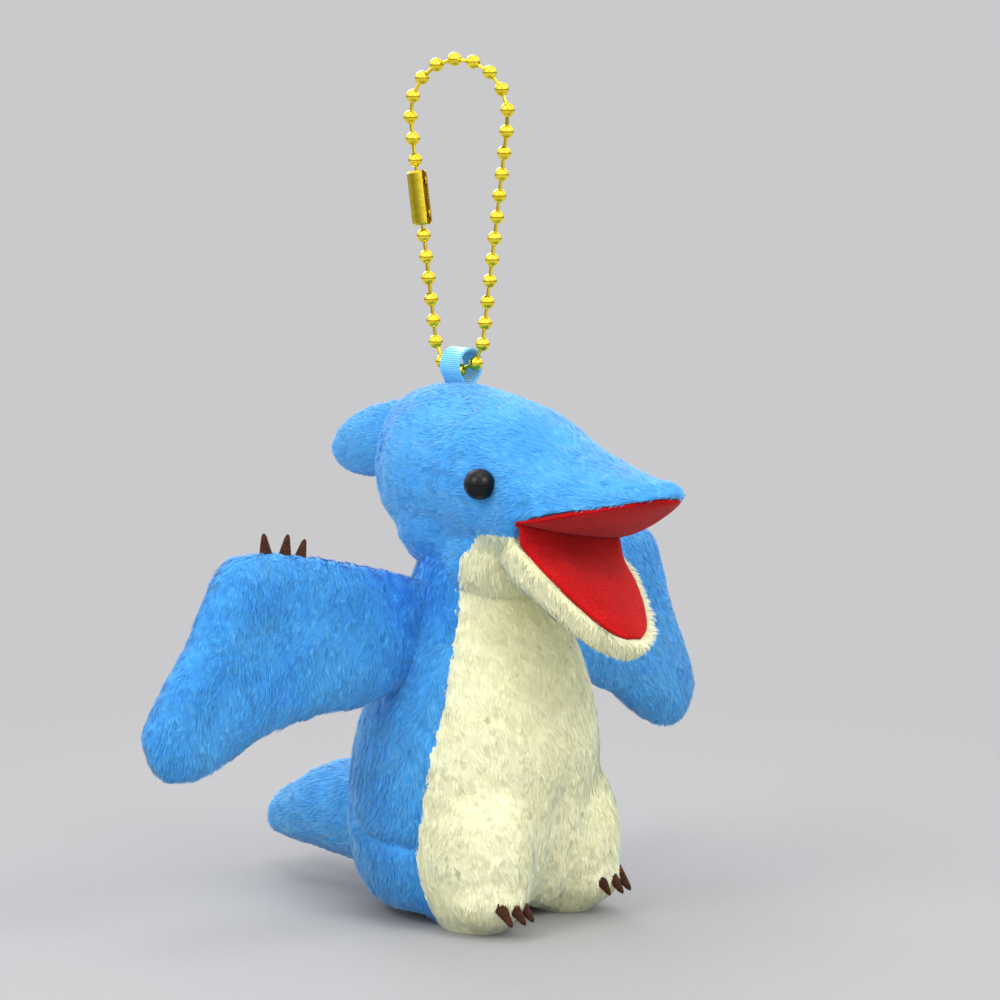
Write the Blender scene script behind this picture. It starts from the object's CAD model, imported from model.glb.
import math

import bpy
import numpy as np
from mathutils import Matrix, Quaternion, Vector
from mathutils.bvhtree import BVHTree


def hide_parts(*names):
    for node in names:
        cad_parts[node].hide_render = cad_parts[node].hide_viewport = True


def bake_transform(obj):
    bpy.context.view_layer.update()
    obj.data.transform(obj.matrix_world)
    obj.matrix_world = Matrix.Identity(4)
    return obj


# Looks of the plush pterosaur keychain. The row frame is +Z up, the toy faces -Y and +X is its left side.
# Shapes are written in millimetres and scaled once, when a mesh is made.
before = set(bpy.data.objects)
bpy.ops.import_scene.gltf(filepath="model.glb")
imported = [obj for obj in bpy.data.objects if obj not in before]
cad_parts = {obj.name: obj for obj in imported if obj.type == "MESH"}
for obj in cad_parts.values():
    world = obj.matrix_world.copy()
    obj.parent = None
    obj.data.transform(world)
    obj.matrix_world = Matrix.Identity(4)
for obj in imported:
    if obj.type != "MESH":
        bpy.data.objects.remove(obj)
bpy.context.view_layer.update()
MM = 0.001
BACKDROP = (0.591, 0.591, 0.604)
HEAD_CENTRE = np.array([0.0, -1.0, 74.0])
HEAD_ROLL = math.radians(6.0)
# The fold of the mouth, and the slopes of the palate and the mouth's floor from it.
MOUTH = np.array([0.0, -20.5, 65.5])
PALATE_RISE = math.radians(20.3)
JAW_DROP = math.radians(40.5)
# How far the mouth's right corner hangs open, the mouth's half width and the palate's length.
OPEN_CORNER, HALF_MOUTH, PALATE_LENGTH = 2.4, 12.0, 25.0
SIDES = {"right": -1, "left": 1}


# ---------------------------------------------------------------- camera, light and floor
def make_camera():
    """A long lens from the toy's right front, a little above it."""
    azimuth, elevation, distance = math.radians(-47.0), math.radians(8.0), 0.7
    target = Vector((2.8, -3.0, 70.5)) * MM
    level_way = math.cos(elevation)
    back = Vector((math.sin(azimuth) * level_way, -math.cos(azimuth) * level_way, math.sin(elevation)))
    data = bpy.data.cameras.new("camera")
    data.lens, data.sensor_width = 149.2, 36.0
    data.clip_start, data.clip_end = 0.01, 20.0
    camera = bpy.data.objects.new("camera", data)
    camera.location = target + back * distance
    camera.rotation_mode = "QUATERNION"
    camera.rotation_quaternion = (-back).to_track_quat("-Z", "Y")
    bpy.context.scene.collection.objects.link(camera)
    bpy.context.scene.camera = camera


def area_light(name, place, aim, size, power):
    data = bpy.data.lights.new(name, "AREA")
    data.shape, data.size, data.energy = "DISK", size, power
    light = bpy.data.objects.new(name, data)
    light.location = Vector(place)
    light.rotation_mode = "QUATERNION"
    light.rotation_quaternion = (Vector(aim) - light.location).to_track_quat("-Z", "Y")
    bpy.context.scene.collection.objects.link(light)


# Brightness of the surroundings by height, for all but the camera: below, a dark line at eye level, and above.
SURROUNDINGS = [(0.0, (0.80, 0.80, 0.80)), (0.40, (0.80, 0.80, 0.80)), (0.46, (0.20, 0.20, 0.20)),
                (0.52, (0.45, 0.45, 0.45)), (0.58, (1.30, 1.30, 1.31)), (1.0, (1.15, 1.15, 1.15))]
# name, place, size, power
LAMPS = [("top", (-0.10, -0.08, 0.62), 0.30, 0.6), ("key", (-0.46, 0.02, 0.44), 0.26, 1.2),
         ("front", (-0.02, -0.46, 0.44), 0.26, 1.2), ("rim", (0.30, 0.50, 0.40), 0.34, 1.5)]


def make_studio():
    """Pale world, soft lamps above and at both sides, and a pale floor that fades into the world."""
    scene = bpy.context.scene
    scene.view_settings.view_transform = "Standard"
    world = bpy.data.worlds.new("studio")
    world.use_nodes = True
    scene.world = world
    tree = world.node_tree
    seen = tree.nodes["Background"]
    seen.inputs["Color"].default_value = (*BACKDROP, 1)
    where = tree.nodes.new("ShaderNodeTexCoord")
    split = tree.nodes.new("ShaderNodeSeparateXYZ")
    tree.links.new(where.outputs["Generated"], split.inputs[0])
    height = math_node(tree, "ADD", math_node(tree, "MULTIPLY", split.outputs["Z"], 0.5), 0.5)
    lit = tree.nodes.new("ShaderNodeBackground")
    tree.links.new(ramp(tree, height, SURROUNDINGS), lit.inputs["Color"])
    path = tree.nodes.new("ShaderNodeLightPath")
    mix = tree.nodes.new("ShaderNodeMixShader")
    tree.links.new(path.outputs["Is Camera Ray"], mix.inputs[0])
    tree.links.new(lit.outputs[0], mix.inputs[1])
    tree.links.new(seen.outputs[0], mix.inputs[2])
    tree.links.new(mix.outputs[0], tree.nodes["World Output"].inputs["Surface"])
    for name, place, size, power in LAMPS:
        area_light(name, place, (0, 0, 0.06), size, power)
    bpy.ops.mesh.primitive_circle_add(vertices=96, radius=0.9, fill_type="TRIFAN")
    floor = bpy.context.object
    floor.name = "floor"
    floor.data.materials.append(floor_material())


# ---------------------------------------------------------------- node helpers
def new_material(name):
    made = bpy.data.materials.new(name)
    made.use_nodes = True
    return made, made.node_tree, made.node_tree.nodes["Principled BSDF"]


def add_node(tree, kind, **inputs):
    made = tree.nodes.new(kind)
    for key, value in inputs.items():
        made.inputs[key.replace("_", " ")].default_value = value
    return made


def math_node(tree, operation, first, second):
    made = tree.nodes.new("ShaderNodeMath")
    made.operation = operation
    for socket, value in zip(made.inputs, (first, second)):
        if isinstance(value, (int, float)):
            socket.default_value = value
        else:
            tree.links.new(value, socket)
    return made.outputs[0]


def ramp(tree, factor, stops):
    """A colour ramp with (place, colour) stops."""
    made = tree.nodes.new("ShaderNodeValToRGB")
    points = made.color_ramp.elements
    while len(points) < len(stops):
        points.new(0.5)
    for point, (place, colour) in zip(points, stops):
        point.position, point.color = place, (*colour, 1)
    tree.links.new(factor, made.inputs[0])
    return made.outputs[0]


def noise(tree, scale, detail=3.0):
    """Noise over the toy's own space; scale is in features per metre."""
    where = tree.nodes.new("ShaderNodeTexCoord")
    made = add_node(tree, "ShaderNodeTexNoise", Scale=scale, Detail=detail)
    tree.links.new(where.outputs["Object"], made.inputs["Vector"])
    return made.outputs[0]


def bump(tree, shader, height, strength, distance):
    made = add_node(tree, "ShaderNodeBump", Strength=strength, Distance=distance)
    tree.links.new(height, made.inputs["Height"])
    tree.links.new(made.outputs[0], shader.inputs["Normal"])


def linear(red, green, blue):
    """Linear colour from an 8-bit display colour."""
    return tuple((c / 255 / 12.92) if c < 11 else (((c / 255) + 0.055) / 1.055) ** 2.4
                 for c in (red, green, blue))


# ---------------------------------------------------------------- materials
def floor_material():
    made, tree, shader = new_material("floor_paper")
    grain = noise(tree, 700.0, 2.0)
    tree.links.new(ramp(tree, grain, [(0.3, (0.335, 0.335, 0.34)), (0.7, (0.347, 0.347, 0.353))]),
                   shader.inputs["Base Color"])
    shader.inputs["Roughness"].default_value = 0.9
    shader.inputs["Specular IOR Level"].default_value = 0.1
    where = tree.nodes.new("ShaderNodeTexCoord")
    reach = tree.nodes.new("ShaderNodeVectorMath")
    reach.operation = "LENGTH"
    tree.links.new(where.outputs["Object"], reach.inputs[0])
    fade = add_node(tree, "ShaderNodeMapRange")
    fade.interpolation_type = "SMOOTHSTEP"
    for key, value in (("From Min", 0.05), ("From Max", 0.22), ("To Min", 0.0), ("To Max", 1.0)):
        fade.inputs[key].default_value = value
    tree.links.new(reach.outputs["Value"], fade.inputs["Value"])
    clear = tree.nodes.new("ShaderNodeBsdfTransparent")
    mix = tree.nodes.new("ShaderNodeMixShader")
    tree.links.new(fade.outputs[0], mix.inputs[0])
    tree.links.new(shader.outputs[0], mix.inputs[1])
    tree.links.new(clear.outputs[0], mix.inputs[2])
    tree.links.new(mix.outputs[0], tree.nodes["Material Output"].inputs["Surface"])
    return made


def plush_material(name, deep, middle, light):
    """Pile fabric: colour by each strand's own tone, from dark root to light tip, over broad patches."""
    made, tree, shader = new_material(name)
    tone = tree.nodes.new("ShaderNodeAttribute")
    tone.attribute_name = "tone"
    patches = noise(tree, 90.0, 2.0)
    spread = math_node(tree, "MULTIPLY", math_node(tree, "SUBTRACT", patches, 0.5), 0.5)
    total = math_node(tree, "ADD", tone.outputs["Fac"], spread)
    tree.links.new(ramp(tree, total, [(0.0, deep), (0.5, middle), (1.0, light)]), shader.inputs["Base Color"])
    shader.inputs["Roughness"].default_value = 0.75
    shader.inputs["Specular IOR Level"].default_value = 0.25
    shader.inputs["Sheen Weight"].default_value = 0.5
    shader.inputs["Sheen Roughness"].default_value = 0.5
    shader.inputs["Sheen Tint"].default_value = (0.55, 0.85, 1.0, 1)
    return made


def fleece_material(name, deep, light):
    """Brushed flat fleece: fine fibre specks and a soft matt surface."""
    made, tree, shader = new_material(name)
    fine = noise(tree, 2600.0, 4.0)
    broad = noise(tree, 220.0, 2.0)
    total = math_node(tree, "ADD", math_node(tree, "MULTIPLY", fine, 0.7),
                      math_node(tree, "MULTIPLY", broad, 0.3))
    tree.links.new(ramp(tree, total, [(0.3, deep), (0.7, light)]), shader.inputs["Base Color"])
    shader.inputs["Roughness"].default_value = 0.95
    shader.inputs["Specular IOR Level"].default_value = 0.1
    shader.inputs["Sheen Weight"].default_value = 0.08
    bump(tree, shader, fine, 0.5, 0.0002)
    return made


def gold_material():
    """Bright gold plating with faint handling marks."""
    made, tree, shader = new_material("gold_plating")
    marks = noise(tree, 900.0, 3.0)
    tree.links.new(ramp(tree, marks, [(0.3, linear(226, 198, 40)), (0.7, linear(250, 228, 72))]),
                   shader.inputs["Base Color"])
    shader.inputs["Metallic"].default_value = 1.0
    shader.inputs["Roughness"].default_value = 0.14
    bump(tree, shader, marks, 0.06, 0.0001)
    return made


def eye_material():
    """Black moulded plastic."""
    made, tree, shader = new_material("eye_plastic")
    swirl = noise(tree, 400.0, 2.0)
    tree.links.new(ramp(tree, swirl, [(0.3, (0.002, 0.002, 0.003)), (0.7, (0.005, 0.005, 0.006))]),
                   shader.inputs["Base Color"])
    shader.inputs["Roughness"].default_value = 0.3
    shader.inputs["Specular IOR Level"].default_value = 0.25
    return made


def ribbon_material():
    """Satin ribbon: fine ribs across the weave."""
    made, tree, shader = new_material("ribbon_satin")
    where = tree.nodes.new("ShaderNodeTexCoord")
    ribs = add_node(tree, "ShaderNodeTexWave", Scale=900.0, Distortion=0.6)
    ribs.bands_direction = "Z"
    tree.links.new(where.outputs["Object"], ribs.inputs["Vector"])
    tree.links.new(ramp(tree, ribs.outputs[0], [(0.0, linear(64, 160, 226)), (1.0, linear(118, 206, 250))]),
                   shader.inputs["Base Color"])
    shader.inputs["Roughness"].default_value = 0.42
    shader.inputs["Sheen Weight"].default_value = 0.3
    bump(tree, shader, ribs.outputs[0], 0.4, 0.0001)
    return made


# ---------------------------------------------------------------- mesh helpers
def mesh_object(name, points, faces, material):
    """An object from points in millimetres."""
    data = bpy.data.meshes.new(name)
    data.from_pydata([tuple(p) for p in np.asarray(points, float) * MM], [], faces)
    data.validate()
    made = bpy.data.objects.new(name, data)
    bpy.context.scene.collection.objects.link(made)
    data.materials.append(material)
    data.polygons.foreach_set("use_smooth", [True] * len(data.polygons))
    return made


def between(a, b, c, d, t):
    """The row at a share t of the way from b to c on a Catmull-Rom curve through four rows."""
    return 0.5 * ((2 * b) + (c - a) * t + (2 * a - 5 * b + 4 * c - d) * t ** 2
                  + (3 * b - a - 3 * c + d) * t ** 3)


def smooth_rows(rows, steps):
    """Rows of numbers joined by a curve, with the given steps between neighbours."""
    rows = np.asarray(rows, float)
    padded = np.vstack([2 * rows[0] - rows[1], rows, 2 * rows[-1] - rows[-2]])
    out = []
    for a, b, c, d in zip(padded, padded[1:], padded[2:], padded[3:]):
        out += [between(a, b, c, d, t) for t in np.arange(steps) / steps]
    out.append(rows[-1])
    return np.array(out)


def ring_loft(centres, wide, tall, around=56, steps=5, boxy=1.0):
    """Points and faces of a closed tube of ellipses: a centre and two half-axis vectors at each station.
    A boxy below 1 squares the ellipses."""
    rows = smooth_rows(np.hstack([centres, wide, tall]), steps)
    angles = np.linspace(0, 2 * math.pi, around, endpoint=False)
    cosine, sine = np.cos(angles)[:, None], np.sin(angles)[:, None]
    cosine, sine = (np.sign(v) * np.abs(v) ** boxy for v in (cosine, sine))
    rings = [row[:3] + cosine * row[3:6] + sine * row[6:9] for row in rows]
    points = np.vstack(rings + [rows[0][None, :3], rows[-1][None, :3]])
    faces = []
    for r in range(len(rings) - 1):
        for i in range(around):
            j = (i + 1) % around
            faces.append((r * around + i, r * around + j, (r + 1) * around + j, (r + 1) * around + i))
    first, last = len(rings) * around, len(rings) * around + 1
    end = (len(rings) - 1) * around
    for i in range(around):
        j = (i + 1) % around
        faces.append((first, j, i))
        faces.append((last, end + i, end + j))
    return points, faces


def lying_loft(rows):
    """A loft along Y through rows of depth, centre height, half width and half height."""
    return ring_loft([(0, y, z) for y, z, _, _ in rows], [(w, 0, 0) for _, _, w, _ in rows],
                     [(0, 0, h) for _, _, _, h in rows])


def ellipsoid(centre, radii, turn=None):
    """Points and faces of an ellipsoid, turned about its centre by a 3 by 3 matrix."""
    latitudes = np.linspace(-math.pi / 2, math.pi / 2, 22)[1:-1]
    turn = np.eye(3) if turn is None else turn
    centre, radii = np.asarray(centre, float), np.asarray(radii, float)
    stations = [centre + turn @ (np.array([0, 0, math.sin(a)]) * radii) for a in latitudes]
    wide = [turn @ (np.array([math.cos(a), 0, 0]) * radii) for a in latitudes]
    tall = [turn @ (np.array([0, math.cos(a), 0]) * radii) for a in latitudes]
    return ring_loft(stations, wide, tall, 40, 1)


def rot_x(angle):
    c, s = math.cos(angle), math.sin(angle)
    return np.array([[1, 0, 0], [0, c, -s], [0, s, c]])


def rot_y(angle):
    c, s = math.cos(angle), math.sin(angle)
    return np.array([[c, 0, s], [0, 1, 0], [-s, 0, c]])


def roll_head(points):
    """Points of the level head moved by the head's lean towards the toy's left."""
    return (np.asarray(points, float) - HEAD_CENTRE) @ rot_y(HEAD_ROLL).T + HEAD_CENTRE


def gathered(name, forms, material):
    """One object from several forms, each its points and faces."""
    points, faces, start = [], [], 0
    for form_points, form_faces in forms:
        points.append(form_points)
        faces += [tuple(i + start for i in face) for face in form_faces]
        start += len(form_points)
    return mesh_object(name, np.vstack(points), faces, material)


def union(name, forms, voxel, rounds, inset, material):
    """One closed skin round several overlapping forms, remeshed evenly, smoothed where they join, and drawn
    in to leave room for its pile."""
    made = gathered(name, forms, material)
    remesh = made.modifiers.new("remesh", "REMESH")
    remesh.mode, remesh.voxel_size, remesh.use_smooth_shade = "VOXEL", voxel * MM, True
    smooth = made.modifiers.new("smooth", "SMOOTH")
    smooth.factor, smooth.iterations = 0.5, rounds
    made = applied(made)
    set_coords(made, coords(made) - vertex_rows(made, "normal") * inset)
    return made


def applied(made):
    """The object with its modifiers applied."""
    graph = bpy.context.evaluated_depsgraph_get()
    data = bpy.data.meshes.new_from_object(made.evaluated_get(graph))
    made.modifiers.clear()
    made.data = data
    return made


def vertex_rows(made, what):
    flat = np.empty(len(made.data.vertices) * 3, np.float32)
    made.data.vertices.foreach_get(what, flat)
    return flat.reshape(-1, 3).astype(float)


def coords(made):
    """The mesh's points in millimetres."""
    return vertex_rows(made, "co") / MM


def set_coords(made, points):
    made.data.vertices.foreach_set("co", (np.asarray(points) * MM).astype(np.float32).ravel())
    made.data.update()


def tone_layer(made, values):
    """The tone attribute of each point, which the plush material reads."""
    layer = made.data.attributes.new("tone", "FLOAT", "POINT")
    layer.data.foreach_set("value", np.asarray(values, np.float32).ravel())


def wander(points, size, seed):
    """Soft seeded noise from -1 to 1 at each point, with lumps of about a size in millimetres."""
    rng = np.random.default_rng(seed)
    total = np.zeros(len(points))
    for _ in range(7):
        way = rng.normal(size=3)
        way *= 2 * math.pi / (size * rng.uniform(0.8, 2.2) * np.linalg.norm(way))
        total += np.sin(points @ way + rng.uniform(0, 2 * math.pi))
    return total / 3.5


def unit(vectors):
    return vectors / np.maximum(np.linalg.norm(vectors, axis=1, keepdims=True), 1e-9)


def smoothstep(low, high, values):
    t = np.clip((values - low) / (high - low), 0, 1)
    return t * t * (3 - 2 * t)


# ---------------------------------------------------------------- pile
def triangles(made):
    data = made.data
    data.calc_loop_triangles()
    flat = np.empty(len(data.loop_triangles) * 3, np.int32)
    data.loop_triangles.foreach_get("vertices", flat)
    return flat.reshape(-1, 3)


def buried(points, skins, depth):
    """True where a point lies deeper than a depth inside any of the skins."""
    inside = np.zeros(len(points), bool)
    for skin in skins:
        tree = BVHTree.FromPolygons([tuple(p) for p in coords(skin)], [tuple(t) for t in triangles(skin)])
        for i, p in enumerate(points):
            if inside[i]:
                continue
            place, normal, _, distance = tree.find_nearest(Vector(p), 12.0)
            if place is not None and distance > depth and (Vector(p) - place).dot(normal) < 0:
                inside[i] = True
    return inside


# Tone of the bare skin under the pile, and of a strand's two root corners, two middle corners and tip.
SKIN_TONE = 0.36
STRAND_TONES = np.array([0.38, 0.38, 0.48, 0.48, 0.56])
# Size of a tuft, how far its tips are drawn together, how deep pile may be buried, and its height off the floor.
TUFT_SIZE, TUFT_DRAW, BURIED, FLOOR_GAP = 0.8, 0.38, 1.2, 0.15
# The share of a strand's width at its middle.
MIDDLE_WIDTH = 0.75


def pile(name, skin, material, density, length, width, comb, seed, hidden_by, keep=None, lift=0.32,
         shade=None):
    """Strands of pile on a skin: thin bent blades, combed along a field of directions and drawn into tufts."""
    rng = np.random.default_rng(seed)
    points, surface, tris = coords(skin), vertex_rows(skin, "normal"), triangles(skin)
    corner = points[tris]
    area = np.linalg.norm(np.cross(corner[:, 1] - corner[:, 0], corner[:, 2] - corner[:, 0]), axis=1) / 2
    count = int(area.sum() * density)
    chosen = rng.choice(len(tris), count, p=area / area.sum())
    mix = rng.dirichlet((1, 1, 1), count)[:, :, None]
    root = (points[tris[chosen]] * mix).sum(1)
    up = unit((surface[tris[chosen]] * mix).sum(1))
    if keep is not None:
        held = keep(root, up)
        root, up = root[held], up[held]
    held = ~buried(root, hidden_by, BURIED)
    root, up = root[held], up[held]
    count = len(root)
    along = comb(root)
    along = unit(along - up * (along * up).sum(1, keepdims=True))
    side = np.cross(up, along)
    swirl = 0.38 * wander(root, 9.0, seed + 10) + 0.30 * wander(root, 3.0, seed + 11)
    swirl = swirl + rng.normal(0, 0.16, count)
    along = along * np.cos(swirl)[:, None] + side * np.sin(swirl)[:, None]
    stand = lift * (1 + 0.5 * wander(root, 2.4, seed + 12) + rng.normal(0, 0.25, count))
    stand = stand.clip(0.02, 1.2)[:, None]
    long = 1 + 0.2 * rng.normal(size=count) + 0.12 * wander(root, 4.0, seed + 13)
    long = length * long.clip(0.45, 1.6)[:, None]
    first = unit(up * stand + along)
    last = unit(up * stand * 0.3 + along)
    root = root - up * 0.04
    middle = root + first * long * 0.5
    tip = middle + last * long * 0.5
    jitter = root + 0.5 * TUFT_SIZE * np.stack([wander(root, 2.5, seed + s) for s in (20, 21, 22)], axis=1)
    cell = np.floor(jitter / TUFT_SIZE).astype(np.int64)
    key = (cell[:, 0] * 73856093) ^ (cell[:, 1] * 19349663) ^ (cell[:, 2] * 83492791)
    _, group, sizes = np.unique(key, return_inverse=True, return_counts=True)
    centre = np.stack([np.bincount(group, tip[:, a]) for a in range(3)], axis=1) / sizes[:, None]
    tip = tip + (centre[group] - tip) * TUFT_DRAW
    middle = middle + (centre[group] - tip) * 0.06
    across = unit(np.cross(up, tip - root)) * (width * rng.uniform(0.7, 1.25, count))[:, None]
    for part in (root, middle, tip):
        part[:, 2] = np.maximum(part[:, 2], FLOOR_GAP)
    strands = np.stack([root + across, root - across, middle - across * MIDDLE_WIDTH,
                        middle + across * MIDDLE_WIDTH, tip], axis=1)
    made = blade_mesh(name, strands, material)
    own = rng.normal(0, 0.055, len(sizes))[group] + rng.normal(0, 0.04, count)
    if shade is not None:
        own = own + shade(root)
    tone_layer(made, STRAND_TONES[None, :] + own[:, None])
    tilt = rng.normal(0, 0.16, (len(sizes), 3))[group] + rng.normal(0, 0.05, (count, 3))
    soft = unit(up + tilt)
    made.data.normals_split_custom_set_from_vertices(np.repeat(soft, 5, axis=0).tolist())
    return made


def blade_mesh(name, strands, material):
    """A mesh of blades of five points each: a quad and an end triangle."""
    data = bpy.data.meshes.new(name)
    count = len(strands)
    data.vertices.add(5 * count)
    data.vertices.foreach_set("co", (strands * MM).astype(np.float32).ravel())
    loops = np.arange(count)[:, None] * 5 + np.array([[0, 1, 2, 3, 3, 2, 4]])
    data.loops.add(loops.size)
    data.loops.foreach_set("vertex_index", loops.astype(np.int32).ravel())
    starts = np.arange(count)[:, None] * 7 + np.array([[0, 4]])
    data.polygons.add(2 * count)
    data.polygons.foreach_set("loop_start", starts.astype(np.int32).ravel())
    data.polygons.foreach_set("use_smooth", [True] * (2 * count))
    data.update(calc_edges=True)
    data.materials.append(material)
    made = bpy.data.objects.new(name, data)
    bpy.context.scene.collection.objects.link(made)
    return made


# ---------------------------------------------------------------- forms of the toy
def torso_forms():
    """The pear-shaped body, its neck, two short legs and the feet."""
    # height, centre front to back, half width, half length
    rows = [(0.4, 2.0, 12.0, 13.0), (2.5, 1.6, 17.4, 17.0), (9.0, 1.4, 21.0, 20.2), (20.0, 0.8, 22.0, 21.8),
            (30.0, -0.4, 21.0, 22.0), (40.0, -1.2, 18.6, 19.8), (48.0, -1.0, 16.0, 17.2),
            (56.0, -1.2, 13.2, 13.2), (62.0, -1.6, 11.6, 11.0), (68.0, -0.2, 9.6, 9.8)]
    body = ring_loft([(0, c, z) for z, c, _, _ in rows], [(w, 0, 0) for _, _, w, _ in rows],
                     [(0, d, 0) for _, _, _, d in rows])
    forms = [body]
    for side in SIDES.values():
        forms.append(ellipsoid((side * 10.8, -9.2, 13.0), (9.4, 12.8, 16.0)))
        forms.append(ellipsoid((side * 11.6, -12.4, 6.4), (7.9, 9.4, 6.4)))
    return forms


def roof_height(across, ahead):
    """Height of the palate over the fold of the mouth: the mouth hangs a little open at its right corner."""
    to_right = np.clip(0.5 - across / (2 * HALF_MOUTH), 0, 1)
    open_corner = OPEN_CORNER * to_right * np.clip(1 - ahead / PALATE_LENGTH, 0, 1)
    return MOUTH[2] + ahead * math.tan(PALATE_RISE) + open_corner


def head_forms():
    """Skull and beak in one loft, flat under the beak, with the crest, the neck's root and the throat."""
    # depth from back to front, centre height, half width, half height
    rows = [(17.6, 75.0, 4.0, 4.0), (16.0, 76.2, 9.0, 10.4), (12.0, 76.2, 12.6, 13.2),
            (4.0, 75.7, 14.2, 15.1), (-6.0, 74.9, 14.4, 14.5), (-14.0, 73.8, 14.2, 13.8),
            (-20.5, 71.6, 14.4, 13.0), (-30.0, 70.4, 12.4, 10.2), (-38.0, 72.2, 8.0, 6.4),
            (-43.5, 74.2, 4.4, 3.8), (-45.4, 75.0, 1.8, 1.8)]
    points, faces = lying_loft(rows)
    ahead = np.clip(MOUTH[1] - points[:, 1], 0, None)
    roof = roof_height(points[:, 0], ahead)
    in_beak = points[:, 1] < MOUTH[1]
    points[in_beak, 2] = np.maximum(points[in_beak, 2], roof[in_beak])
    crest = ellipsoid((0, 21.0, 79.2), (4.6, 14.2, 7.0), rot_x(math.radians(-14.0)))
    neck_root = ellipsoid((0, 2.2, 66.0), (12.0, 11.6, 9.0))
    throat = ellipsoid((0, -6.4, 61.0), (11.2, 9.6, 9.4))
    return [(roll_head(p), f) for p, f in ((points, faces), crest, neck_root, throat)]


JAW_TURN = rot_x(JAW_DROP)


def jaw_points(points):
    """Points of the closed jaw frame, along -Y from the mouth fold, moved to the open jaw's place."""
    return roll_head(np.asarray(points, float) @ JAW_TURN.T + MOUTH)


def jaw_forms():
    """The lower jaw below the red lining, with a rounded root in the throat."""
    # distance from the fold, half width, half height
    rows = [(-1.0, 13.0, 7.6), (6.0, 12.8, 7.0), (13.0, 10.8, 6.0), (20.0, 7.2, 4.8), (23.4, 4.0, 3.6),
            (24.6, 1.8, 2.0)]
    points, faces = ring_loft([(0, -a, 0) for a, _, _ in rows], [(w, 0, 0) for _, w, _ in rows],
                              [(0, 0, h) for _, _, h in rows], boxy=0.62)
    root, root_faces = ellipsoid((0, 0, 0), (12.8, 7.0, 7.4))
    forms = []
    for shape, shape_faces in ((points, faces), (root, root_faces)):
        widest = np.interp(-shape[:, 1], [a for a, _, _ in rows], [w for _, w, _ in rows])
        lip = smoothstep(0.62, 0.88, np.abs(shape[:, 0]) / widest) + smoothstep(20.2, 23.2, -shape[:, 1])
        shape[:, 2] = np.minimum(shape[:, 2], 0.2 + 0.7 * np.clip(lip, 0, 1))
        forms.append((jaw_points(shape), shape_faces))
    return forms


def tail_forms():
    """One stuffed cone, rooted in the body."""
    # distance behind the middle, height, half width, half height
    rows = [(12.0, 14.0, 9.4, 9.6), (20.0, 13.8, 9.8, 10.4), (28.0, 13.4, 9.2, 9.6), (35.0, 12.8, 8.0, 8.4),
            (42.0, 11.2, 6.2, 6.4), (47.5, 9.8, 4.2, 4.4), (50.2, 9.2, 1.8, 1.8)]
    return [lying_loft(rows)]


# Wing outline, spread flat: distance from the middle plane and height.
WING_OUTLINE = [(9.5, 58.0), (31.2, 64.2), (44.6, 66.2), (51.0, 63.6), (57.4, 52.5), (63.0, 45.0), (66.8, 38.0),
                (64.6, 31.2), (58.6, 29.0), (50.4, 31.6), (43.9, 34.7), (34.2, 36.7), (25.2, 37.2),
                (16.6, 39.4), (9.5, 44.0), (8.6, 51.0)]
WING_DEPTH = 3.0
# Degrees that each wing is swept back and dropped.
WING_SET = {"right": (11.0, 0.0), "left": (5.0, 9.0)}


def wing_place(points, word):
    """Points of the flat wing moved by its sweep about the root line and its droop at the shoulder."""
    side = SIDES[word]
    low, top = np.array([side * 18.3, WING_DEPTH, 41.5]), np.array([side * 12.4, WING_DEPTH, 57.5])
    middle = (low + top) / 2
    sweep, droop = WING_SET[word]
    turn = Quaternion(Vector(top - low), math.radians(side * sweep)).to_matrix()
    turn = Quaternion(Vector((0, 1, 0)), math.radians(side * droop)).to_matrix() @ turn
    return (np.asarray(points, float) - middle) @ np.array(turn).T + middle


def closed_curve(points, steps):
    """A closed curve through points in a plane."""
    rows = np.asarray(points, float)
    out = []
    for i in range(len(rows)):
        a, b, c, d = rows[i - 1], rows[i], rows[(i + 1) % len(rows)], rows[(i + 2) % len(rows)]
        out += [between(a, b, c, d, t) for t in np.arange(steps) / steps]
    return np.array(out)


def wing_form(word):
    """A stuffed flat pillow of the wing's outline: round at its rim, and puckered a little in its middle."""
    side = SIDES[word]
    step, half, round_off = 0.8, 3.9, 6.5
    rim = closed_curve(WING_OUTLINE, 6)
    low, high = rim.min(0) - 1, rim.max(0) + 1
    xs, zs = np.arange(low[0], high[0], step), np.arange(low[1], high[1], step)
    grid = np.stack(np.meshgrid(xs, zs, indexing="ij"), axis=-1)
    away = inside_distance(grid.reshape(-1, 2), rim).reshape(grid.shape[:2])
    share = np.clip(away / round_off, 0, 1)
    crown = np.maximum(half * np.sqrt(1 - (1 - share) ** 2), 0.3)
    flat = np.dstack([grid, np.zeros(away.shape)]).reshape(-1, 3)
    pucker = wander(flat, 11.0, 5 + side).reshape(away.shape)
    crown = crown * (1 + 0.10 * share * pucker)
    cells = (away[:-1, :-1] > 0) & (away[1:, :-1] > 0) & (away[:-1, 1:] > 0) & (away[1:, 1:] > 0)
    rows, columns = away.shape
    index = np.arange(rows * columns).reshape(rows, columns)
    across, height = side * grid[..., 0], grid[..., 1]
    front, back = (np.stack([across, WING_DEPTH + way * crown, height], axis=-1).reshape(-1, 3)
                   for way in (-1, 1))
    count = rows * columns
    faces = []
    for i, j in np.argwhere(cells):
        corners = (index[i, j], index[i + 1, j], index[i + 1, j + 1], index[i, j + 1])
        faces.append(corners)
        faces.append(tuple(c + count for c in corners[::-1]))
        beyond = ((i, j - 1), (i + 1, j), (i, j + 1), (i - 1, j))
        for k, (u, v) in enumerate(beyond):
            if not (0 <= u < rows - 1 and 0 <= v < columns - 1 and cells[u, v]):
                a, b = corners[k], corners[(k + 1) % 4]
                faces.append((b, a, a + count, b + count))
    return wing_place(np.vstack([front, back]), word), faces


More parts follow.
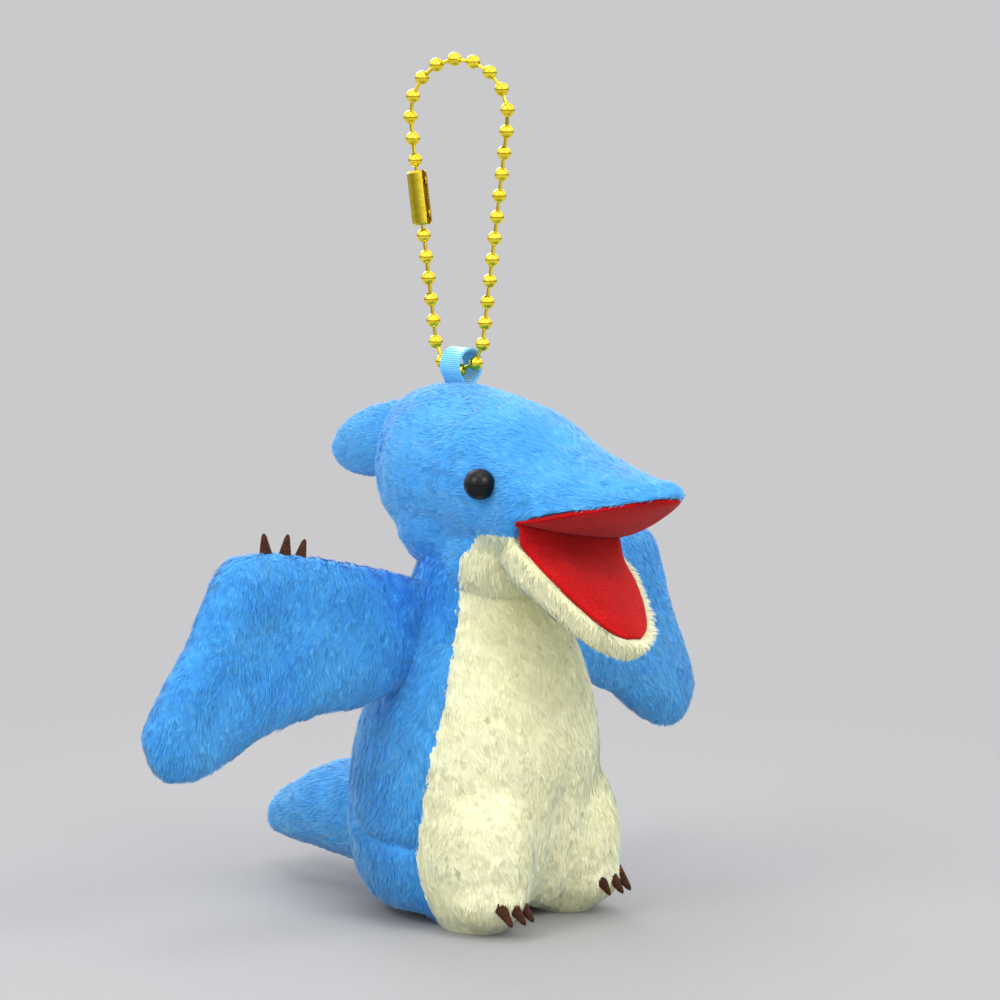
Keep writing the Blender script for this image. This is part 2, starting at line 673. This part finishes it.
def inside_distance(points, rim):
    """Distance of each point from a closed line in the plane, positive inside it."""
    a, b = rim, np.roll(rim, -1, axis=0)
    way = b - a
    reach = points[:, None] - a[None]
    t = np.clip((reach * way).sum(2) / (way * way).sum(1), 0, 1)
    distance = np.linalg.norm(reach - t[..., None] * way, axis=2).min(1)
    crosses = (a[:, 1] > points[:, None, 1]) != (b[:, 1] > points[:, None, 1])
    with np.errstate(divide="ignore", invalid="ignore"):
        where = a[:, 0] + (points[:, None, 1] - a[:, 1]) * way[:, 0] / way[:, 1]
    inside = (crosses & (points[:, None, 0] < where)).sum(1) % 2 == 1
    return np.where(inside, distance, -distance)


# ---------------------------------------------------------------- where the cream fabric is
SEAM_HEIGHTS = (0.0, 12.0, 26.0, 40.0, 52.0, 62.0, 70.0)
SEAM_DEPTHS = (-4.5, -4.4, -6.8, -8.2, -7.0, -5.0, -5.0)


def level(points):
    """Points of the leaning head moved back to the level head."""
    return (points - HEAD_CENTRE) @ rot_y(HEAD_ROLL) + HEAD_CENTRE


def in_belly(points):
    return points[:, 1] < np.interp(points[:, 2], SEAM_HEIGHTS, SEAM_DEPTHS)


def in_throat(points):
    flat = level(points)
    edge = np.interp(flat[:, 1], (-22.0, -16.0, -11.0, -7.4, -6.2), (66.5, 66.5, 66.0, 62.0, 40.0))
    return flat[:, 2] < edge


def on_palate(points, normals_there):
    """Where the palate lining covers the head: under the beak, and behind the fold of the mouth."""
    flat = level(points)
    roof = roof_height(flat[:, 0], MOUTH[1] - flat[:, 1])
    faces_down = -(normals_there @ rot_y(HEAD_ROLL))[:, 2] > 0.72
    behind_fold = (flat[:, 1] < MOUTH[1] + 3.0) & (flat[:, 2] > 59.5) & (flat[:, 2] < 68.0)
    under_beak = (flat[:, 1] < MOUTH[1] + 0.5) & (flat[:, 2] < roof + 2.4) & faces_down
    return under_beak | (behind_fold & (np.abs(flat[:, 0]) < 11.0))


# Floor of the mouth: distance from the fold, half width, rise.
FLOOR_ROWS = [(5.0, 11.0, 1.0), (10.0, 9.8, 1.2), (15.5, 7.6, 1.0), (20.0, 4.7, 0.7), (22.2, 1.5, 0.4)]


def on_floor_lining(points):
    """Where the floor lining covers the jaw."""
    closed = (level(points) - MOUTH) @ JAW_TURN
    half = np.interp(-closed[:, 1], [0.0] + [a for a, _, _ in FLOOR_ROWS] + [22.8],
                     [11.6] + [w for _, w, _ in FLOOR_ROWS] + [0.0])
    lined = (closed[:, 2] > -0.8) & (closed[:, 1] < 1.0) & (np.abs(closed[:, 0]) < half - 0.2)
    return lined | ((closed[:, 1] > -3.0) & (closed[:, 2] > -2.5) & (np.abs(closed[:, 0]) < 11.0))


def near_eye(points):
    eyes = roll_head([(side * 14.4, -14.2, 74.6) for side in SIDES.values()])
    return np.min(np.linalg.norm(points[:, None] - eyes[None], axis=2), axis=1) < 1.8


def paint(made, second, where):
    """Gives the faces where a rule holds a second material."""
    made.data.materials.append(second)
    points = coords(made)
    held = where(points)
    for polygon in made.data.polygons:
        polygon.material_index = int(held[polygon.vertices[0]])


def steady(direction):
    """A comb that points one way everywhere."""
    return lambda points: np.tile(np.asarray(direction, float), (len(points), 1))


def outward_down(points):
    """Comb of the jaw: from the lining's edge outwards and down."""
    return np.stack([np.clip(level(points)[:, 0] / 8, -1, 1) * 0.7, np.full(len(points), -0.15),
                     np.full(len(points), -0.8)], axis=1)


# ---------------------------------------------------------------- seams, dents and nap
HEM_DEPTHS = (-6.0, 6.0, 15.0, 18.5, 24.0)
HEM_HEIGHTS = (14.3, 14.6, 18.5, 23.0, 30.0)


def bell(distance, width):
    return np.exp(-(distance / width) ** 2)


def bell_at(points, centre, radii):
    return np.exp(-(((points - np.array(centre)) / np.array(radii)) ** 2).sum(1))


def press(made, depth):
    """Draws a skin in by a depth at each point."""
    points = coords(made)
    set_coords(made, points - vertex_rows(made, "normal") * depth(points)[:, None])


def torso_dents(points):
    """Stitched seams beside the belly and round the hips, and the cleft between the legs."""
    x, y, z = np.abs(points[:, 0]), points[:, 1], points[:, 2]
    belly = 0.7 * bell(y - np.interp(z, SEAM_HEIGHTS, SEAM_DEPTHS), 1.0)
    hem = 1.1 * bell(z - np.interp(y, HEM_DEPTHS, HEM_HEIGHTS), 1.2)
    hem = hem * smoothstep(-6, -3, y) * (1 - smoothstep(16, 24, y))
    cleft = 1.6 * bell(x, 2.2) * (1 - smoothstep(20, 32, z)) * (y < 0)
    return belly + hem + cleft


# Beside the brow, in front of the crest, round the eye and along the beak: centre, radii, depth.
HEAD_DENTS = [((10.0, -23.0, 82.0), (5.0, 4.5, 5.5), 1.0), ((13.0, 12.5, 79.0), (5.0, 3.0, 12.0), 1.1),
              ((14.0, -15.5, 74.0), (4.0, 4.0, 4.0), 0.6), ((12.0, -27.0, 72.5), (4.0, 5.0, 2.6), 0.5)]


HEAD_BANDS = [((12.5, 12.5, 78.0), (8.0, 3.2, 11.0), 0.22), ((9.0, -18.0, 84.0), (7.0, 4.0, 5.0), 0.20),
              ((12.0, 2.0, 62.0), (9.0, 8.0, 4.5), 0.14)]


def mirrored_bells(points, bells):
    """Sum of bells in the level head's space, the same on both sides."""
    flat = level(points)
    flat[:, 0] = np.abs(flat[:, 0])
    return sum(depth * bell_at(flat, centre, radii) for centre, radii, depth in bells)


def wing_nap(points):
    """Darker in the crease at the wing's root and along the upper edge."""
    return -0.30 * bell(np.abs(points[:, 0]) - 17.0, 4.5) - 0.10 * bell(points[:, 2] - 56.0, 5.0)


def body_nap(points):
    """Darker where the nap lies away from the light: beside the belly, under the wings and along the hem."""
    x, y, z = np.abs(points[:, 0]), points[:, 1], points[:, 2]
    side_strip = bell(y - 1.0, 7.0) * smoothstep(30, 48, z)
    hem = bell(z - np.interp(y, HEM_DEPTHS, HEM_HEIGHTS), 1.6)
    return -0.26 * side_strip - 0.12 * hem - 0.10 * (1 - smoothstep(4, 12, z))


def head_nap(points):
    """A little lighter, with dark bands before the crest, over the eye and in the nape."""
    return 0.04 - mirrored_bells(points, HEAD_BANDS)


def belly_nap(points):
    """Darker under the jaw and at the feet."""
    flat = level(points)
    under = bell_at(flat, (0.0, -17.0, 54.0), (16.0, 8.0, 9.0))
    return 0.05 - 0.12 * under - 0.10 * (1 - smoothstep(2, 7, points[:, 2]))


# ---------------------------------------------------------------- pieces
def finish_soft(skin, slot, bond, *nodes):
    """A stuffed skin that rides by its bond and stands for its CAD panels and stuffing."""
    bond(skin)
    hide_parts(*nodes)


def tuft(name, skin, material, slot, bond, **settings):
    """Pile on a skin, riding as the skin does."""
    made = pile(name, skin, material, **settings)
    bond(made)


BLUE = plush_material("blue_pile", linear(12, 116, 220), linear(68, 162, 228), linear(120, 188, 232))
CREAM = plush_material("cream_pile", linear(230, 226, 168), linear(243, 241, 200), linear(250, 249, 222))
RED = fleece_material("red_fleece_cloth", linear(140, 4, 8), linear(205, 14, 16))
GOLD = gold_material()
FELT = fleece_material("brown_felt_cloth", linear(30, 17, 13), linear(84, 48, 30))

make_camera()
make_studio()

torso = union("torso_skin", torso_forms(), 0.9, 8, 0.8, BLUE)
head = union("head_skin", head_forms(), 0.8, 6, 0.7, BLUE)
jaw = union("jaw_skin", jaw_forms(), 0.7, 3, 0.5, CREAM)
tail = union("tail_skin", tail_forms(), 0.9, 4, 0.8, BLUE)
wings = {word: union(f"wing_skin_{word}", [wing_form(word)], 0.7, 5, 0.4, BLUE) for word in SIDES}
paint(torso, CREAM, in_belly)
paint(head, CREAM, in_throat)
press(torso, torso_dents)
press(head, lambda p: mirrored_bells(p, HEAD_DENTS))
for skin in (torso, head, jaw, tail, *wings.values()):
    tone_layer(skin, np.full(len(skin.data.vertices), SKIN_TONE))


def bond_torso(piece):
    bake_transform(piece)


def bond_head(piece):
    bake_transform(piece)


def bond_jaw(piece):
    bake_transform(piece)


def bond_tail(piece):
    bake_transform(piece)


def wing_bond():
    return lambda piece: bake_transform(piece)


tuft("torso_pile_blue", torso, BLUE, "blue_plush", bond_torso, density=11.0, length=1.35, width=0.095,
     comb=steady((0, 0.10, -1)), keep=lambda p, n: ~in_belly(p) & (p[:, 2] > 1.0),
     hidden_by=(head, tail, *wings.values()), seed=11, shade=body_nap)
tuft("torso_pile_cream", torso, CREAM, "cream_plush", bond_torso, density=12.0, length=1.15, width=0.095,
     comb=steady((0, -0.25, -1)), keep=lambda p, n: in_belly(p) & (p[:, 2] > 1.0), lift=0.28,
     hidden_by=(head, jaw), seed=12, shade=belly_nap)
tuft("head_pile_blue", head, BLUE, "blue_plush", bond_head, density=13.0, length=1.15, width=0.09,
     comb=steady((0, 1, -0.22)), keep=lambda p, n: ~in_throat(p) & ~on_palate(p, n) & ~near_eye(p), lift=0.30,
     hidden_by=(torso,), seed=13, shade=head_nap)
tuft("head_pile_cream", head, CREAM, "cream_plush", bond_head, density=12.0, length=1.4, width=0.09,
     comb=steady((0, 0.1, -1)), keep=lambda p, n: in_throat(p) & ~on_palate(p, n),
     hidden_by=(torso, jaw), seed=14, shade=belly_nap)
tuft("jaw_pile_cream", jaw, CREAM, "cream_plush", bond_jaw, density=12.0, length=1.4, width=0.09,
     comb=outward_down, keep=lambda p, n: ~on_floor_lining(p), hidden_by=(head, torso), seed=15)
tuft("tail_pile_blue", tail, BLUE, "blue_plush", bond_tail, density=11.0, length=1.6, width=0.095,
     comb=steady((0, 1, -0.35)), hidden_by=(torso,), seed=16)
for word, side in SIDES.items():
    tuft(f"wing_pile_{word}", wings[word], BLUE, "blue_plush", wing_bond(), density=12.0, length=1.3,
         width=0.095, lift=0.27, comb=steady((side * 0.42, 0.1, -0.9)), hidden_by=(torso,), seed=17 + side,
         shade=wing_nap)

finish_soft(torso, "blue_plush", bond_torso, "belly_panel", "base_gusset", "back_panel_right",
            "back_panel_left", "torso_stuffing", "foot_panel_right", "foot_panel_left", "foot_stuffing_right",
            "foot_stuffing_left", "neck_stuffing")
finish_soft(head, "blue_plush", bond_head, "head_panel_right", "head_panel_left", "throat_panel",
            "head_stuffing", "eye_washer_right", "eye_washer_left")
finish_soft(jaw, "cream_plush", bond_jaw, "jaw_panel", "jaw_stuffing")
finish_soft(tail, "blue_plush", bond_tail, "tail_panel_right", "tail_panel_left", "tail_stuffing")
for word in SIDES:
    finish_soft(wings[word], "blue_plush", wing_bond(), f"wing_front_panel_{word}",
                f"wing_back_panel_{word}", f"wing_stuffing_{word}")


# ---------------------------------------------------------------- mouth lining
def make_lining():
    """One red lining from the palate's tip, round the fold of the mouth, to the floor's tip."""
    # distance from the fold, half width, rise into the mouth
    palate = [(25.2, 1.0, 0.6), (23.6, 3.2, 0.7), (18.0, 7.2, 0.9), (11.0, 10.8, 1.1), (5.0, 12.4, 1.2),
              (1.5, 13.0, 0.6)]
    bedded = 0.9
    up_way = np.array([0, -math.cos(PALATE_RISE), math.sin(PALATE_RISE)])
    down_way = np.array([0, -math.cos(JAW_DROP), -math.sin(JAW_DROP)])
    up_face = np.array([0, -math.sin(PALATE_RISE), -math.cos(PALATE_RISE)])
    down_face = np.array([0, -math.sin(JAW_DROP), math.cos(JAW_DROP)])
    rows = [np.hstack([MOUTH + up_way * a - up_face * bedded, up_face * lift, [w]]) for a, w, lift in palate]
    rows.append(np.hstack([MOUTH + np.array([0, -1.4, 0.2]), np.array([0, -0.6, 0]), [12.4]]))
    rows += [np.hstack([MOUTH + down_way * a, down_face * lift, [w]]) for a, w, lift in FLOOR_ROWS]
    rows = smooth_rows(rows, 6)
    across = np.linspace(-1, 1, 33)
    points = []
    for row in rows:
        for s in across:
            lift = 0.5 + 0.8 * (1 - s * s)
            place = row[:3] + np.array([row[6] * s, 0, 0]) + row[3:6] * lift
            ahead = MOUTH[1] - place[1]
            if place[2] > MOUTH[2]:
                place[2] += roof_height(place[0], ahead) - roof_height(HALF_MOUTH, ahead)
            points.append(place)
    count = len(across)
    faces = [(r * count + i, r * count + i + 1, (r + 1) * count + i + 1, (r + 1) * count + i)
             for r in range(len(rows) - 1) for i in range(count - 1)]
    made = mesh_object("mouth_lining", roll_head(points), faces, RED)
    thick = made.modifiers.new("thick", "SOLIDIFY")
    thick.thickness, thick.offset = 0.7 * MM, 0
    made = applied(made)
    bond_jaw(made)
    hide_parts("palate_lining", "mouth_floor_lining")


make_lining()


# ---------------------------------------------------------------- ribbon
def make_ribbon():
    """A narrow woven ribbon sewn into the head's top seam and standing up in a small loop."""
    ring, wide, thick = 2.8, 4.5, 0.45
    depth, height = 5.2, 93.0
    path = [(-0.55, 84.6), (-0.6, 87.4), (-0.9, 89.4)]
    for angle in np.linspace(-150, -390, 17):
        a = math.radians(angle)
        path.append((ring * math.cos(a), height + ring * math.sin(a)))
    path += [(0.9, 89.4), (0.6, 87.4), (0.55, 84.6)]
    rows = smooth_rows([(x, depth, z) for x, z in path], 4)
    ways = unit(np.gradient(rows, axis=0))
    out = np.stack([ways[:, 2], np.zeros(len(ways)), -ways[:, 0]], axis=1)
    # The band's section, with its thicker woven edges: across its width, and through its thickness.
    profile = [(-0.5, 0.0), (-0.47, 0.55), (-0.40, 0.62), (-0.36, 0.45), (0.36, 0.45), (0.40, 0.62),
               (0.47, 0.55), (0.5, 0.0), (0.47, -0.55), (0.40, -0.62), (0.36, -0.45), (-0.36, -0.45),
               (-0.40, -0.62), (-0.47, -0.55)]
    points = []
    for place, way in zip(rows, out):
        for y, h in profile:
            points.append(place + np.array([0, y * wide, 0]) + way * h * thick)
    count = len(profile)
    last = (len(rows) - 1) * count
    faces = [(r + i, r + (i + 1) % count, r + count + (i + 1) % count, r + count + i)
             for r in range(0, last, count) for i in range(count)]
    faces.append(tuple(range(count - 1, -1, -1)))
    faces.append(tuple(range(last, last + count)))
    made = mesh_object("ribbon_band", roll_head(points), faces, ribbon_material())
    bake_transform(made)
    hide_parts("ribbon_loop", "ribbon_tails")


make_ribbon()


# ---------------------------------------------------------------- claws
def claw_form(base, tip, radius, bend):
    """A bound felt claw from base to tip: a bent cone with a rounded end and the ridges of its winding."""
    base, tip = np.array(base, float), np.array(tip, float)
    way = (tip - base) / np.linalg.norm(tip - base)
    aside = np.cross(way, (0.3, 1.0, 0.2))
    aside /= np.linalg.norm(aside)
    other = np.cross(way, aside)
    centres, wide, tall = [], [], []
    for t in np.linspace(0, 1, 31):
        girth = radius * (1 - 0.74 * t ** 1.2) * math.sqrt(max(1 - (max(t - 0.86, 0) / 0.145) ** 2, 0.01))
        girth *= 1 + 0.035 * math.sin(t * 47)
        centres.append(base + (tip - base) * t + np.array(bend, float) * t * t)
        wide.append(aside * girth)
        tall.append(other * girth * 0.9)
    return ring_loft(centres, wide, tall, 20, 1)


def make_claws(name, forms, bond, node):
    made = gathered(name, forms, FELT)
    bond(made)
    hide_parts(node)


# Claws on a wing: distance from the middle plane, height, lean outwards in degrees.
WING_CLAWS = [(35.0, 63.4, -22.0), (37.8, 64.3, -14.0), (41.2, 64.8, 8.0)]
TOE_RISE = {"right": 0.0, "left": 1.2}
for word, side in SIDES.items():
    forms = []
    for across, height, lean in WING_CLAWS:
        base = np.array((side * across, WING_DEPTH, height - 0.8))
        lean = math.radians(lean)
        base, tip = wing_place([base, base + (side * math.sin(lean) * 3.5, 0, math.cos(lean) * 4.6)], word)
        forms.append(claw_form(base, tip, 1.25, (-0.2 * side, 0, 0)))
    make_claws(f"wing_claws_bound_{word}", forms, wing_bond(), f"wing_claws_{word}")
    forms = []
    for i in (-1, 0, 1):
        base = (side * 12.2 + i * 2.3, -18.8 + abs(i) * 0.4, 6.4 + TOE_RISE[word])
        tip = (side * 12.2 + i * 2.6, -22.6 + abs(i) * 0.6, 3.4 + TOE_RISE[word])
        forms.append(claw_form(base, tip, 1.35, (0, -0.2, -0.5)))
    make_claws(f"foot_claws_bound_{word}", forms, bond_torso, f"foot_claws_{word}")


# ---------------------------------------------------------------- CAD parts that stay
def dress(node, material):
    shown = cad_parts[node]
    shown.data.materials.clear()
    shown.data.materials.append(material)


EYE = eye_material()
for word in SIDES:
    dress(f"eye_{word}", EYE)
for part in ("lower", "middle", "upper"):
    dress(f"chain_beads_{part}", GOLD)
    dress(f"chain_links_{part}", GOLD)
dress("clasp", GOLD)
